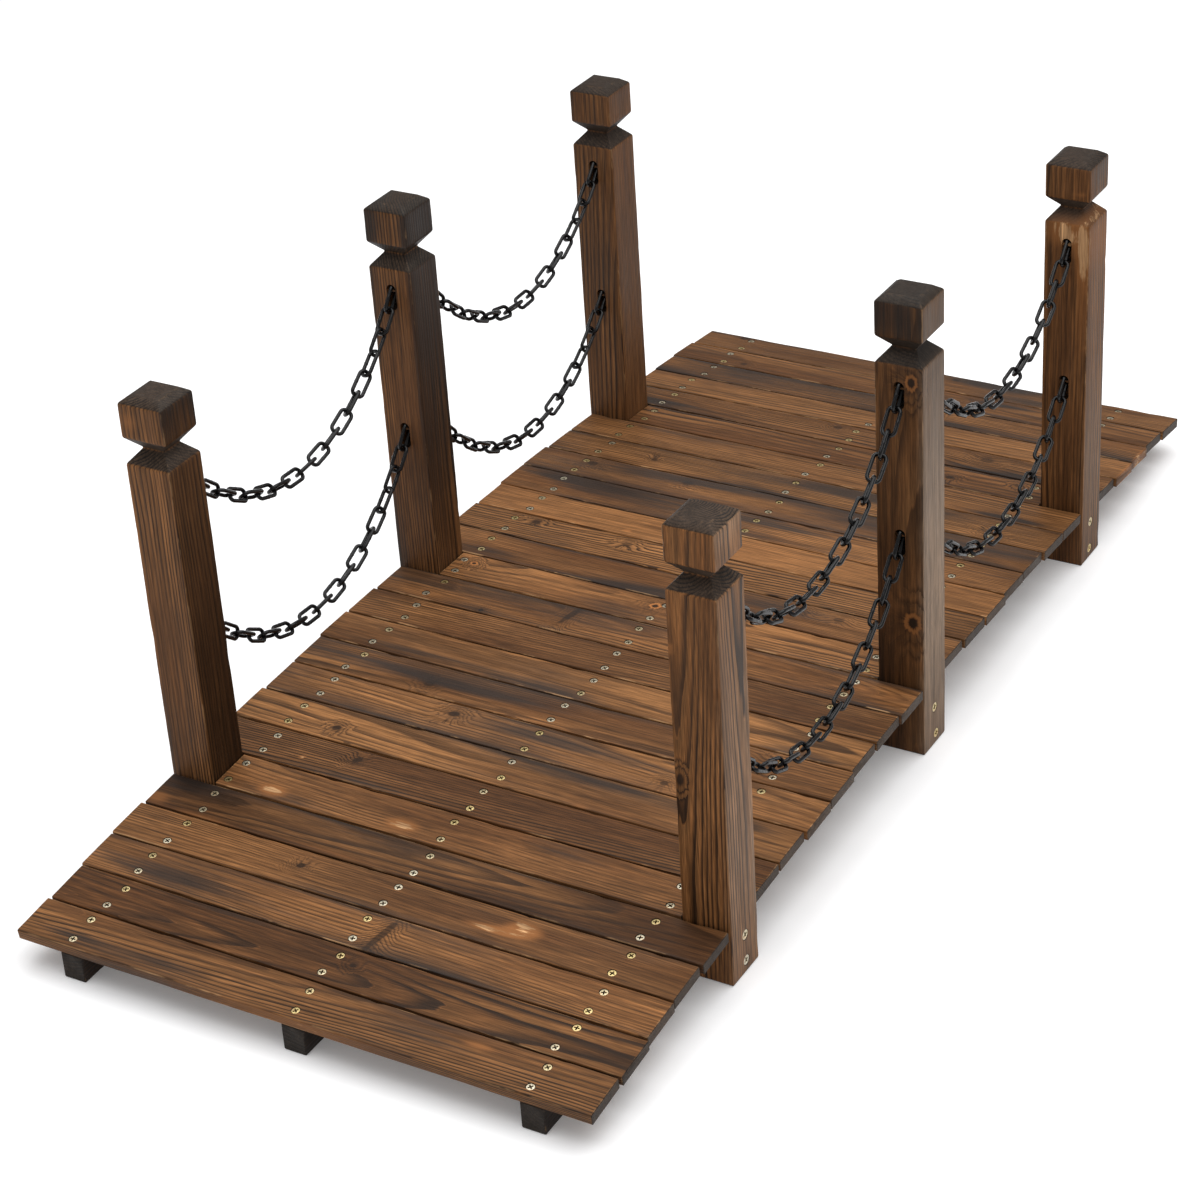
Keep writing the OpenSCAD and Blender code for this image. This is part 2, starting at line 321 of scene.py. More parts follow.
def loose_parts(node):
    """The points of each separate solid in a CAD node."""
    bm = bmesh.new()
    bm.from_mesh(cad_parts[node].data)
    bmesh.ops.remove_doubles(bm, verts=bm.verts, dist=1e-6)
    bm.verts.ensure_lookup_table()
    seen, parts = set(), []
    for vert in bm.verts:
        if vert.index in seen:
            continue
        stack, part = [vert], []
        seen.add(vert.index)
        while stack:
            v = stack.pop()
            part.append(tuple(v.co))
            for e in v.link_edges:
                w = e.other_vert(v)
                if w.index not in seen:
                    seen.add(w.index)
                    stack.append(w)
        parts.append(np.array(part))
    bm.free()
    return parts


# ---- shader helpers
class Graph:
    """Short calls for shader nodes. Numbers or sockets go in and a socket comes out."""

    def __init__(self, name):
        self.material = bpy.data.materials.new(name)
        self.material.use_nodes = True
        self.tree = self.material.node_tree
        self.tree.nodes.clear()

    def node(self, kind, **settings):
        made = self.tree.nodes.new(kind)
        for key, value in settings.items():
            setattr(made, key, value)
        return made

    def feed(self, socket, value):
        if isinstance(value, bpy.types.NodeSocket):
            self.tree.links.new(value, socket)
        elif value is not None:
            socket.default_value = value

    def math(self, operation, *values, clamp=False):
        made = self.node("ShaderNodeMath", operation=operation, use_clamp=clamp)
        for socket, value in zip(made.inputs, values):
            self.feed(socket, value)
        return made.outputs[0]

    def times(self, a, b, clamp=False):
        return self.math("MULTIPLY", a, b, clamp=clamp)

    def linear(self, value, slope, base):
        """slope times value, plus base."""
        return self.math("MULTIPLY_ADD", value, slope, base)

    def vector(self, operation, *values):
        made = self.node("ShaderNodeVectorMath", operation=operation)
        for socket, value in zip(made.inputs, values):
            self.feed(socket, value)
        return made.outputs["Value" if operation in ("DOT_PRODUCT", "LENGTH") else "Vector"]

    def attribute(self, name):
        return self.node("ShaderNodeAttribute", attribute_name=name).outputs["Vector"]

    def split(self, vector):
        made = self.node("ShaderNodeSeparateXYZ")
        self.feed(made.inputs[0], vector)
        return made.outputs[:3]

    def join(self, x, y, z):
        made = self.node("ShaderNodeCombineXYZ")
        for socket, value in zip(made.inputs, (x, y, z)):
            self.feed(socket, value)
        return made.outputs[0]

    def noise(self, vector, scale=1.0, detail=2.0, rough=0.5):
        made = self.node("ShaderNodeTexNoise", noise_dimensions="3D")
        settings = {"Vector": vector, "Scale": scale, "Detail": detail, "Roughness": rough}
        for key, value in settings.items():
            self.feed(made.inputs[key], value)
        return made.outputs["Fac"]

    def ramp(self, value, low, high):
        """A smooth step from 0 to 1 as value goes from low to high, which may be the smaller one."""
        made = self.node("ShaderNodeMapRange", interpolation_type="SMOOTHSTEP")
        for socket, v in zip(made.inputs, (value, low, high)):
            self.feed(socket, v)
        return made.outputs[0]

    def swing(self, noise, by, base):
        """base, moved up and down by a noise about its middle value."""
        return self.linear(self.math("SUBTRACT", noise, 0.5), by, base)

    def mix(self, share, a, b):
        """Colour a, turning to colour b as share goes from 0 to 1."""
        made = self.node("ShaderNodeMix", data_type="RGBA", clamp_factor=True)
        for index, value in ((0, share), (6, a), (7, b)):    # the colour sockets follow the number ones
            self.feed(made.inputs[index], value)
        return made.outputs[2]

    def scaled(self, colour, by):
        """A colour made lighter or darker by a number."""
        made = self.node("ShaderNodeVectorMath", operation="SCALE")
        self.feed(made.inputs[0], colour)
        self.feed(made.inputs["Scale"], by)
        return made.outputs[0]

    def surface(self, colour, roughness, height=None, **constants):
        """The finished material, with a bump of height in metres and any other constant inputs."""
        shader = self.node("ShaderNodeBsdfPrincipled")
        self.feed(shader.inputs["Base Color"], colour)
        self.feed(shader.inputs["Roughness"], roughness)
        for key, value in constants.items():
            shader.inputs[key.replace("_", " ")].default_value = value
        if height is not None:
            bump = self.node("ShaderNodeBump")
            bump.inputs["Distance"].default_value = 1.0
            self.feed(bump.inputs["Height"], height)
            self.feed(shader.inputs["Normal"], bump.outputs[0])
        out = self.node("ShaderNodeOutputMaterial")
        self.feed(out.inputs[0], shader.outputs[0])
        return self.material


# ---- wood
def knot_shading(g, seed, mid, radius):
    """The ring radius bent round a piece's two knots, and how much of knot, halo and orange ring."""
    knot, halo, ring = 0.0, 0.0, 0.0
    for key in ("knot_a", "knot_b"):
        ka, kb, strength = g.split(g.attribute(key))
        flat = g.join(ka, kb, 0.0)
        turn = g.vector("ADD", g.vector("NORMALIZE", flat), g.join(seed, seed, strength))
        rays = g.noise(turn, scale=2.6, detail=3, rough=0.7)
        uneven = g.linear(g.math("SUBTRACT", g.math("ADD", mid, rays), 1.0), 0.9, 1.0)
        rho = g.times(g.vector("LENGTH", flat), uneven)
        sure = g.math("MINIMUM", strength, 1.0)
        radius = g.linear(g.times(g.ramp(rho, 4.5, 0.4), sure), 0.008, radius)
        knot = g.math("MAXIMUM", knot, g.times(g.ramp(rho, 1.2, 0.75), sure))
        near = g.ramp(rho, 3.6, 0.9)
        star = g.times(near, g.linear(g.ramp(rays, 0.45, 0.62), 0.8, 0.2))
        halo = g.math("MAXIMUM", halo, g.times(star, sure))
        band = g.times(g.ramp(rho, 0.45, 0.8), g.ramp(rho, 1.25, 0.95))
        ringed = g.math("SUBTRACT", strength, 1.0)
        ring = g.math("MAXIMUM", ring, g.times(band, ringed, clamp=True))
    return radius, knot, halo, ring


def wood_material(name, grain):
    """Flamed fir. Rings come from each point's place in its log, so faces and ends agree."""
    g = Graph(name)
    log, board, half = g.attribute("log"), g.attribute("board"), g.attribute("half")
    seed, tone, spacing = g.split(g.attribute("piece"))
    contrast, shift, rusty = g.split(g.attribute("figure"))
    char, wear_and_sheen, light = g.split(g.attribute("stain"))
    away = g.vector("ADD", log, g.scaled((0.37, 0.61, 1.30), seed))

    def stretched(across, along, shift=0.0):
        """The place in the log, squeezed so that noise runs long with the grain."""
        return g.vector("MULTIPLY_ADD", away, (across, across, along), (shift, shift * 1.7, shift * 0.3))

    slow = g.noise(stretched(8, 1.8))
    mid = g.noise(stretched(60, 5), detail=3)
    patch = g.noise(stretched(22, 3.2, 3.1), detail=2)
    bands = g.noise(stretched(150, 4.5, 1.7), detail=4, rough=0.6)
    fibre = g.noise(stretched(520, 12), detail=4, rough=0.65)
    hair = g.noise(stretched(1500, 40), detail=1, rough=0.6)

    lx, ly, _ = g.split(log)
    radius = g.vector("LENGTH", g.join(lx, ly, 0.0))
    radius = g.swing(slow, 0.016, radius)
    radius = g.swing(mid, 0.0026, radius)
    radius, knot, halo, ring = knot_shading(g, seed, mid, radius)

    count = g.math("DIVIDE", radius, spacing)
    uneven = g.noise(g.join(g.times(count, 0.42), seed, 0.0), detail=1)
    count = g.linear(uneven, 0.9, count)
    part = g.math("FRACT", count)
    late = g.times(g.ramp(part, 0.34, 0.90), g.ramp(part, 1.0, 0.94))
    show = g.linear(g.ramp(patch, 0.30, 0.66), 0.75, 0.35)
    line = g.times(g.times(late, show), contrast, clamp=True)

    normal = g.node("ShaderNodeNewGeometry").outputs["Normal"]
    facing = g.math("ABSOLUTE", g.vector("DOT_PRODUCT", normal, grain))
    end = g.ramp(facing, 0.35, 0.62)

    # distance to the nearest arris: the middle one of the three distances to the faces
    dx, dy, dz = g.split(g.vector("SUBTRACT", half, g.vector("ABSOLUTE", board)))
    low, high = g.math("MINIMUM", dx, dy), g.math("MAXIMUM", dx, dy)
    arris = g.math("MAXIMUM", low, g.math("MINIMUM", high, dz))
    dashes = g.noise(stretched(90, 16, 9.0), detail=4, rough=0.65)
    edge = g.times(g.ramp(arris, 0.0020, 0.0003), g.ramp(dashes, 0.52, 0.62))
    edge = g.times(edge, g.linear(end, -0.85, 1.0))
    splinter = g.ramp(g.math("ADD", g.times(wear_and_sheen, 0.42), dashes), 0.80, 0.90)
    worn = g.math("MAXIMUM", g.times(edge, 0.75), splinter)

    smoke = g.noise(stretched(26, 3.0, 5.0), detail=2)
    rim = g.times(g.ramp(dy, 0.011, 0.0), 0.16)
    soot = g.math("ADD", g.times(smoke, 0.45), g.times(bands, 0.65))
    burnt = g.ramp(g.math("ADD", g.math("ADD", soot, rim), char), 0.66, 1.12)

    pale = g.ramp(g.math("ADD", patch, g.times(shift, 0.3)), 0.25, 0.75)
    base = g.mix(pale, EARLY_DARK, EARLY_LIGHT)
    base = g.mix(g.times(rusty, g.ramp(part, 0.0, 0.5)), base, RUST)
    colour = g.mix(g.times(line, 0.92), base, LATE)
    streak = g.swing(fibre, 2.3, 1.0)
    streak = g.times(streak, g.swing(hair, 1.5, 1.0))
    streak = g.times(streak, g.swing(bands, 1.5, 1.0))
    colour = g.scaled(colour, streak)
    colour = g.mix(g.times(halo, 0.6), colour, LATE)
    colour = g.mix(g.times(knot, 0.9), colour, LATE)
    colour = g.mix(ring, colour, RUST)
    colour = g.mix(g.times(burnt, 0.86), colour, CHAR)
    ends = g.scaled(g.mix(line, END_LIGHT, END_DARK), streak)
    colour = g.mix(g.times(end, 0.92), colour, ends)
    colour = g.mix(g.times(g.ramp(wear_and_sheen, 0.15, 0.75), 0.55), colour, RUST)
    colour = g.mix(g.times(worn, 0.8), colour, g.scaled(BARE, streak))
    # the light channel: plain tone on planks, and painted light and shade on a post's +X face
    colour = g.scaled(colour, g.times(tone, g.math("ADD", light, 1.0)))
    # painted reflection: the wear channel below 0 turns the wood to a grey sheen
    painted_sheen = g.scaled(PAINTED_SHEEN_GREY, g.times(streak, g.linear(line, -0.8, 1.0)))
    colour = g.mix(g.times(wear_and_sheen, -1.0, clamp=True), colour, painted_sheen)

    height = g.times(line, 0.00016)
    height = g.linear(fibre, 0.00022, height)
    height = g.linear(hair, 0.00006, height)
    height = g.linear(worn, -0.00025, height)
    rough = g.linear(line, -0.12, 0.60)
    rough = g.linear(burnt, -0.10, rough)
    rough = g.swing(fibre, 0.3, rough)
    return g.surface(colour, rough, height, Specular_IOR_Level=0.14)


def dress(piece, axes, centre, half, look):
    """Writes what the wood material reads: place in the log, place in the board, tones and knots.
    The piece's half sizes are one size for all, or a function of the points."""
    mesh = piece.data
    local = (points_of(mesh) - centre) @ np.array(axes).T
    along, across, up = local.T

    def constant(*values):
        return np.tile(values, (len(local), 1))

    pith, lean = look["pith"], look.get("lean", (0.0, 0.0))
    log = np.stack([across - pith[0] - lean[0] * along, up - pith[1] - lean[1] * along, along], 1)
    vector_attribute(mesh, "log", log)
    vector_attribute(mesh, "board", local)
    vector_attribute(mesh, "half", half(local) if callable(half) else constant(*half))
    vector_attribute(mesh, "piece", constant(look["seed"], look["tone"], look["spacing"]))
    figure = constant(look["contrast"], look.get("shift", 0.0), look.get("rust", 0.0))
    vector_attribute(mesh, "figure", figure)

    # the stain channels are char, wear and light; wear below 0 and the light channel also carry painted
    # light, shade and sheen
    stain = constant(look.get("char", 0.0), 0.0, 0.0)
    number = int(look["seed"] * 1000)
    stain[:, 0] += 0.30 * soft_noise(number + 3, along, across, 0.16, 0.03)
    stain[:, 2] += 0.16 * soft_noise(number + 4, along, across, 0.12, 0.04)
    for kind, at, beside, long, wide, amount in look.get("marks", ()):
        blob = amount * np.exp(-(((along - at) / long) ** 2) - ((across - beside) / wide) ** 2)
        stain[:, STAIN_AND_LIGHT_KINDS.index(kind)] += blob
    vector_attribute(mesh, "stain", stain)

    knots = list(look.get("knots", ()))[:2]
    for key in ("knot_a", "knot_b"):
        near = constant(*NO_KNOT)
        if knots:
            at, beside, long, wide, turn, strength = knots.pop(0)
            a, b = along - at, across - beside
            c, s = math.cos(turn), math.sin(turn)
            near = np.stack([(a * c + b * s) / long, (b * c - a * s) / wide, 0 * a + strength], 1)
        vector_attribute(mesh, key, near)


def finish_piece(piece, material, nodes, degrees=40):
    """Gives a piece its material and the CAD nodes that it replaces."""
    piece.data.materials.clear()
    piece.data.materials.append(material)
    smooth_shading(piece.data, degrees)
    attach(piece, "root")
    if nodes:
        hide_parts(*nodes)


# ---- deck planks
class Board:
    """A plank's place, read from its CAD solid: x from end to end, across along the deck, up."""

    def __init__(self, node):
        points = cad_points(node)
        flat = points[:, 1:] - points[:, 1:].mean(0)
        _, vectors = np.linalg.eigh(flat.T @ flat)
        across = vectors[:, 1] * (1 if vectors[0, 1] > 0 else -1)
        self.x0, self.x1 = points[:, 0].min(), points[:, 0].max()
        self.across = np.array([0.0, across[0], across[1]])
        self.up = np.array([0.0, -across[1], across[0]])
        u, v = points @ self.across, points @ self.up
        self.half_width = (u.max() - u.min()) / 2
        self.thick = v.max() - v.min()
        middle = (self.x0 + self.x1) / 2
        self.top = np.array([middle, 0, 0]) + self.across * (u.max() + u.min()) / 2 + self.up * v.max()
        self.half_length = (self.x1 - self.x0) / 2

    def point(self, x, u, v=0.0):
        """x in the bridge's own frame, u across the plank from its middle, v from its top face."""
        return np.array([x, 0, 0]) + (self.top - [self.top[0], 0, 0]) + self.across * u + self.up * v


def plank_rings(board, seed):
    """Rings of an eased rectangle, every few millimetres, with arrises worn unevenly."""
    n = int(round(2 * board.half_length / RING_STEP))
    xs = np.concatenate([[board.x0, board.x0 + PLANK_EASE], np.linspace(board.x0, board.x1, n + 1)[1:-1],
                         [board.x1 - PLANK_EASE, board.x1]])
    front = worn_radius(seed, xs, PLANK_ARRIS, 4)
    back = worn_radius(seed + 40, xs, PLANK_ARRIS, 4)
    front_in, back_in = (PLANK_SIDE_INSET * (1 + soft_noise(seed + k, xs, 0, 0.05)) for k in (2, 3))
    half, thick = board.half_width, board.thick
    rings = []
    for i, x in enumerate(xs):
        tight = PLANK_END_INSET if i in (0, len(xs) - 1) else 0.0
        left, right = -half + front_in[i] + tight, half - back_in[i] - tight
        rf, rb = front[i], back[i]
        u = np.linspace(left + rf, right - rb, 13)
        sag = PLANK_TOP_INSET * (1 + soft_noise(seed + 4, x, u, 0.07, 0.02)) + tight
        ring = [(a, -s) for a, s in zip(u, sag)]
        ring += [(right - rb + rb * math.cos(q), -sag[-1] - rb + rb * math.sin(q)) for q in ARRIS_TURNS]
        ring += [(right, -rb - sag[-1] - (thick - rb - PLANK_EASE) * f) for f in SIDE_SHARES]
        ring += [(a, tight - thick) for a in np.linspace(right - PLANK_EASE, left + PLANK_EASE, 5)]
        ring += [(left, -rf - sag[0] - (thick - rf - PLANK_EASE) * f) for f in SIDE_SHARES[::-1]]
        ring += [(left + rf - rf * math.cos(q), -sag[0] - rf + rf * math.sin(q)) for q in ARRIS_TURNS[::-1]]
        rings.append([board.point(x, a, b) for a, b in ring])
    return np.array(rings)


def screw_places(boards):
    """Two screws for each plank at each stringer: (plank, row, x, place across, depth, up, turn)."""
    rng = np.random.default_rng(11)
    rows = [(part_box(s)[0][0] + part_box(s)[1][0]) / 2 + d for s, d in zip(STRINGERS, SCREW_ROW_SHIFT)]
    places = []
    for index, board in enumerate(boards):
        for row, x in enumerate(rows):
            for side in (-1, 1):
                at = x + rng.uniform(-0.0035, 0.0035)
                at = min(max(at, board.x0 + SCREW_END_MARGIN), board.x1 - SCREW_END_MARGIN)
                reach = min(SCREW_REACH, board.half_width - SCREW_SIDE_MARGIN)
                u = side * reach + rng.uniform(-0.0015, 0.0015)
                sink = -HEAD_SINK - DECK_HEAD_DROP - rng.uniform(0, 0.00035)
                places.append((index, row, at, u, sink, board.up, rng.uniform(0, math.pi / 2)))
    return places


def axis_matrix(up, place, turn):
    """A placing matrix whose Z is up, turned about it."""
    up = Vector(up).normalized()
    side = Vector((1, 0, 0)) if abs(up.x) < 0.9 else Vector((0, 1, 0))
    other = up.cross(side).normalized()
    side = other.cross(up)
    turned_side = side * math.cos(turn) + other * math.sin(turn)
    turned_other = up.cross(turned_side)
    rotation = Matrix((turned_side, turned_other, up)).transposed().to_4x4()
    return Matrix.Translation(Vector(place)) @ rotation


def screw_hole(radius, lip, up, place):
    """A cutter for a countersunk hole, which widens by lip where it leaves the wood."""
    r = radius + HEAD_CLEARANCE
    profile = [(r * 0.55, -0.0032), (r * 0.95, -0.0016), (r, -0.0008), (r + lip, CUT_PAST)]
    return turned(profile, 20, axis_matrix(up, place, 0.0))


def plank_look(index):
    """A plank's own log, tone, stains and knots, and its share of painted light and shade across the deck."""
    rng = np.random.default_rng(300 + index)
    angle = rng.uniform(-2.7, -0.45)
    far = rng.uniform(0.035, 0.11)
    look = {
        "seed": 0.1 + index * 0.137, "tone": rng.uniform(0.78, 1.08),
        "spacing": rng.uniform(0.0015, 0.0032),
        "contrast": rng.uniform(0.65, 1.15), "pith": (far * math.cos(angle), far * math.sin(angle)),
        "lean": (rng.uniform(-0.02, 0.02), rng.uniform(-0.02, 0.02)), "shift": rng.uniform(-0.5, 0.6),
        "char": rng.uniform(-0.15, 0.22), "rust": rng.uniform(0.0, 0.25),
    }
    knots = []
    for _ in range(rng.integers(0, 3)):
        long = rng.uniform(0.003, 0.006)
        knots.append((rng.uniform(-0.28, 0.28), rng.uniform(-0.02, 0.02), long * 1.3, long,
                      rng.uniform(-0.5, 0.5), rng.uniform(0.6, 1.0)))
    look["knots"] = PLANK_KNOTS.get(index + 1, knots)
    marks = [("char", rng.uniform(-0.30, 0.30), rng.choice((-1, 1)) * rng.uniform(0.012, 0.023),
              rng.uniform(0.05, 0.14), rng.uniform(0.005, 0.011), rng.uniform(0.25, 0.55)) for _ in range(3)]
    marks += [("wear_and_sheen", rng.uniform(-0.30, 0.30), rng.choice((-0.024, 0.024)), rng.uniform(0.01, 0.05),
               0.003, rng.uniform(0.4, 0.7)) for _ in range(2)]
    look["marks"] = PLANK_MARKS.get(index + 1, marks)
    # painted light and shade across the deck: planks lighter around the eighth and darker towards the rear
    look["tone"] *= np.interp(index, (4, 8, 16, 24), (0.96, 1.20, 1.08, 0.78))
    return look


def build_planks(material):
    boards = [Board(name) for name in PLANKS]
    places = screw_places(boards)
    for index, (name, board) in enumerate(zip(PLANKS, boards)):
        piece = loft("plank_%02d" % (index + 1), plank_rings(board, 100 + 7 * index))
        holes = [screw_hole(HEAD_RADIUS, 0.00035, up, board.point(at, u))
                 for owner, _, at, u, _, up, _ in places if owner == index]
        cut(piece, holes)
        centre = board.top - board.up * board.thick / 2
        half = (board.half_length, board.half_width, board.thick / 2)
        dress(piece, [(1, 0, 0), board.across, board.up], centre, half, plank_look(index))
        finish_piece(piece, material, [name])
    return boards, places


# ---- stringers
def build_stringers(material):
    for index, name in enumerate(STRINGERS):
        points = cad_points(name)
        low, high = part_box(name)
        curve = points[points[:, 2] > ARC_BASE]
        order = np.argsort(curve[:, 1])
        ys = np.concatenate([[low[1], low[1] + STRINGER_EASE],
                             np.arange(low[1] + STRINGER_STEP, high[1] - 0.01, STRINGER_STEP),
                             [high[1] - STRINGER_EASE, high[1]]])
        tops = np.interp(ys, curve[order, 1], curve[order, 2])
        cx, half = (low[0] + high[0]) / 2, (high[0] - low[0]) / 2
        rings = []
        for i, (y, top) in enumerate(zip(ys, tops)):
            tight = STRINGER_END_INSET if i in (0, len(ys) - 1) else 0.0
            h = half - tight - STRINGER_INSET * (1 + soft_noise(500 + index, y, 0, 0.04))
            r = STRINGER_EASE + 0.0006 * soft_noise(510 + index, y, 0, 0.02)
            bottom, head = low[2] + tight, top - tight
            waist = (bottom + head) / 2
            flank = [(r, bottom), (r * 0.3, bottom + r * 0.3), (0, bottom + r), (0, waist), (0, head - r),
                     (r, head)]
            left, right = ([(cx + side * (h - a), z) for a, z in flank] for side in (-1, 1))
            ring = [left[0], (cx, bottom), *right, (cx, head), *left[:0:-1]]
            rings.append([(x, y, z) for x, z in ring])
        piece = loft(name + "_timber", np.array(rings))
        look = {"seed": 5.1 + index * 0.31, "tone": 0.50, "spacing": 0.0042, "contrast": 0.9,
                "pith": (0.012 - 0.02 * index, 0.05), "lean": (0.004, 0.01), "char": 0.35}
        middle = np.array([cx, 0, (low[2] + high[2]) / 2])
        size = ((high[1] - low[1]) / 2, half, STRINGER_TALL)
        dress(piece, [(0, 1, 0), (-1, 0, 0), (0, 0, 1)], middle, size, look)
        finish_piece(piece, material, [name])


# ---- posts
def eased(profile, ease):
    """Rounds each inner corner of a (half, height) profile with two points."""
    out = [profile[0]]
    for before, here, after in zip(profile, profile[1:], profile[2:]):
        a, b, c = np.array(before), np.array(here), np.array(after)
        to_a, to_c = np.linalg.norm(a - b), np.linalg.norm(c - b)
        p, q = b + (a - b) / to_a * min(ease, to_a / 3), b + (c - b) / to_c * min(ease, to_c / 3)
        out += [tuple(p), tuple((p + 2 * b + q) / 4), tuple(q)]
    return out + [profile[-1]]


def split_long(profile, step):
    """Splits a (half, height) profile where it climbs by more than a step."""
    out = [profile[0]]
    for a, b in zip(profile, profile[1:]):
        n = max(1, int(math.ceil(abs(b[1] - a[1]) / step)))
        out += [(a[0] + (b[0] - a[0]) * k / n, a[1] + (b[1] - a[1]) * k / n) for k in range(1, n + 1)]
    return out


def post_ring(cx, cy, z, half, radii):
    """One square ring with its own radius at each corner."""
    corners = ((1, -1), (1, 1), (-1, 1), (-1, -1))
    ring = []
    for k, (sx, sy) in enumerate(corners):
        r = min(radii[k], half * 0.45)
        ox, oy = cx + sx * (half - r), cy + sy * (half - r)
        start = (-0.5 + 0.5 * k) * math.pi
        for f in (0.0, 0.25, 0.5, 0.75, 1.0):
            t = start + f * math.pi / 2
            ring.append((ox + r * math.cos(t), oy + r * math.sin(t), z))
        nx, ny = corners[(k + 1) % 4]
        reach = half - radii[(k + 1) % 4]
        last, end = ring[-1], (cx + nx * reach, cy + ny * reach)
        for f in (0.17, 0.34, 0.5, 0.66, 0.83):
            if k % 2:
                ring.append((last[0] + (end[0] - last[0]) * f, last[1], z))
            else:
                ring.append((last[0], last[1] + (end[1] - last[1]) * f, z))
    return ring


def slot_cutters(name, cx, cy, half):
    """The chain slots, read from the CAD post: round-ended, and through a middle post."""
    points = cad_points(name)
    in_line = abs(points[:, 0] - cx) < SLOT_WIDTH / 2 + 1e-4
    through = "middle" in name
    r = SLOT_WIDTH / 2
    cutters = []
    for sign in (1,) if through else (-1, 1):
        face = cy + sign * half
        near = points[(abs(points[:, 1] - face) < 5e-5) & in_line & (points[:, 2] > 0.1)]
        levels = np.sort(near[:, 2])
        for group in np.split(levels, np.where(np.diff(levels) > SLOT_GAP)[0] + 1):
            if not len(group):
                continue
            z0, z1 = group.min(), group.max()
            outline = [(cx + r * math.cos(t), z1 - r + r * math.sin(t)) for t in np.linspace(0, math.pi, 13)]
            outline += [(cx - r * math.cos(t), z0 + r - r * math.sin(t)) for t in np.linspace(0, math.pi, 13)]
            if through:
                cutters.append(prism(outline, 1, cy - half - CUT_PAST, cy + half + CUT_PAST))
            else:
                inside = points[in_line & (points[:, 2] > z0 - 1e-4) & (points[:, 2] < z1 + 1e-4)
                                & (sign * (points[:, 1] - cy) > -1e-6)]
                floor = (sign * (inside[:, 1] - cy)).min()
                cutters.append(prism(outline, 1, cy + sign * floor, face + sign * CUT_PAST))
    return cutters


def pin_bores(cx, cy, half):
    """A bore for each chain pin that sits in this post, open on the -X face."""
    bores = []
    for part in loose_parts("chain_pins"):
        low, high = part.min(0), part.max(0)
        middle = (low + high) / 2
        if abs(middle[0] - cx) < half and abs(middle[1] - cy) < half:
            ring = [(middle[1] + PIN_BORE * math.cos(t), middle[2] + PIN_BORE * math.sin(t))
                    for t in np.arange(20) * math.pi / 10]
            bores.append(prism(ring, 0, low[0] - CUT_PAST, high[0]))
    return bores


def post_look(name):
    """A post's own log, tone, stains and knots, with painted light, shade and sheen on its +X face."""
    def side(amount, kind="light"):
        """A mark on the +X face alone, over its whole height, for painted light and shade on that face: a
        light one makes it lighter or darker, and a wear one below 0 paints a grey reflection that fades
        towards the top.
        """
        return (kind, 0.20, 0.0272, 9.0 if kind == "light" else 0.27, 0.0012, amount)

    burnt_top = ("char", 0.515, 0.0, 0.040, 0.060, 0.21)
    # Right posts: side marks below 0 paint a grey sheen on the +X face, a painted reflection, and the front
    # post's last mark paints it on its finial. Left posts: side marks paint shade on the +X face of the front
    # and middle posts, and light on the rear one.
    looks = {
        "post_right_front": dict(
            tone=0.78, spacing=0.0027, pith=(-0.022, 0.024), lean=(0.008, -0.022), contrast=1.1,
            shift=0.2, rust=0.45, char=-0.10,
            marks=[side(-0.45, "wear_and_sheen"), ("wear_and_sheen", 0.375, -0.026, 0.008, 0.005, 0.9),
                   ("wear_and_sheen", 0.515, 0.0272, 0.028, 0.0012, -0.5)],
            knots=[(0.231, -0.021, 0.006, 0.0035, 0.1, 0.8)]),
        "post_right_middle": dict(
            tone=0.50, spacing=0.0032, pith=(0.02, 0.07), lean=(0.0, 0.01), contrast=0.7,
            shift=-0.1, rust=0.25, char=0.02,
            marks=[side(-0.9, "wear_and_sheen"), ("char", 0.40, 0.022, 0.10, 0.006, 0.2), burnt_top],
            knots=[(0.449, 0.014, 0.0085, 0.0070, 0.0, 2.0), (0.165, 0.014, 0.0105, 0.0085, 0.0, 2.0)]),
        "post_right_rear": dict(
            tone=0.66, spacing=0.0030, pith=(-0.05, 0.05), lean=(0.01, 0.0), contrast=1.0,
            shift=0.0, rust=0.30, char=0.05,
            marks=[side(-0.25, "wear_and_sheen"), ("wear_and_sheen", 0.428, -0.004, 0.020, 0.028, 0.86),
                   ("wear_and_sheen", 0.405, 0.019, 0.035, 0.009, 0.95), ("wear_and_sheen", 0.33, 0.021, 0.10, 0.006, 0.82),
                   ("wear_and_sheen", 0.477, 0.014, 0.004, 0.009, 0.6), burnt_top]),
        "post_left_front": dict(
            tone=0.80, spacing=0.0027, pith=(-0.06, 0.05), lean=(0.006, 0.004), contrast=1.0,
            shift=0.1, rust=0.25, char=0.0,
            marks=[side(-0.66), ("wear_and_sheen", 0.487, -0.015, 0.012, 0.010, 0.65), burnt_top]),
        "post_left_middle": dict(
            tone=0.68, spacing=0.0030, pith=(0.07, 0.03), lean=(-0.01, 0.01), contrast=0.9,
            shift=0.0, rust=0.35, char=0.06,
            marks=[side(-0.18), ("char", 0.25, 0.025, 0.30, 0.005, 0.25), burnt_top]),
        "post_left_rear": dict(
            tone=0.60, spacing=0.0030, pith=(0.04, 0.06), lean=(0.01, 0.01), contrast=0.9,
            shift=0.1, rust=0.35, char=0.05, marks=[side(0.20), burnt_top]),
    }
    return dict(looks[name], seed=7.0 + 0.21 * POSTS.index(name))


def post_outline(half, foot, top):
    """Half width against height: foot, shoulder, V-grooved neck, finial and sloping cap."""
    shoulder = top - CAP_HEIGHT - FINIAL_SIDE - 2 * GROOVE_HALF
    block = shoulder + 2 * GROOVE_HALF
    profile = [
        (half - POST_EASE, foot), (half, foot + POST_EASE), (half, shoulder),
        (NECK_HALF, shoulder + GROOVE_HALF), (half, block), (half, block + FINIAL_SIDE),
        (half - CAP_SLOPE, top - CROWN)]
    return split_long(eased(profile, POST_CREASE), POST_STEP)


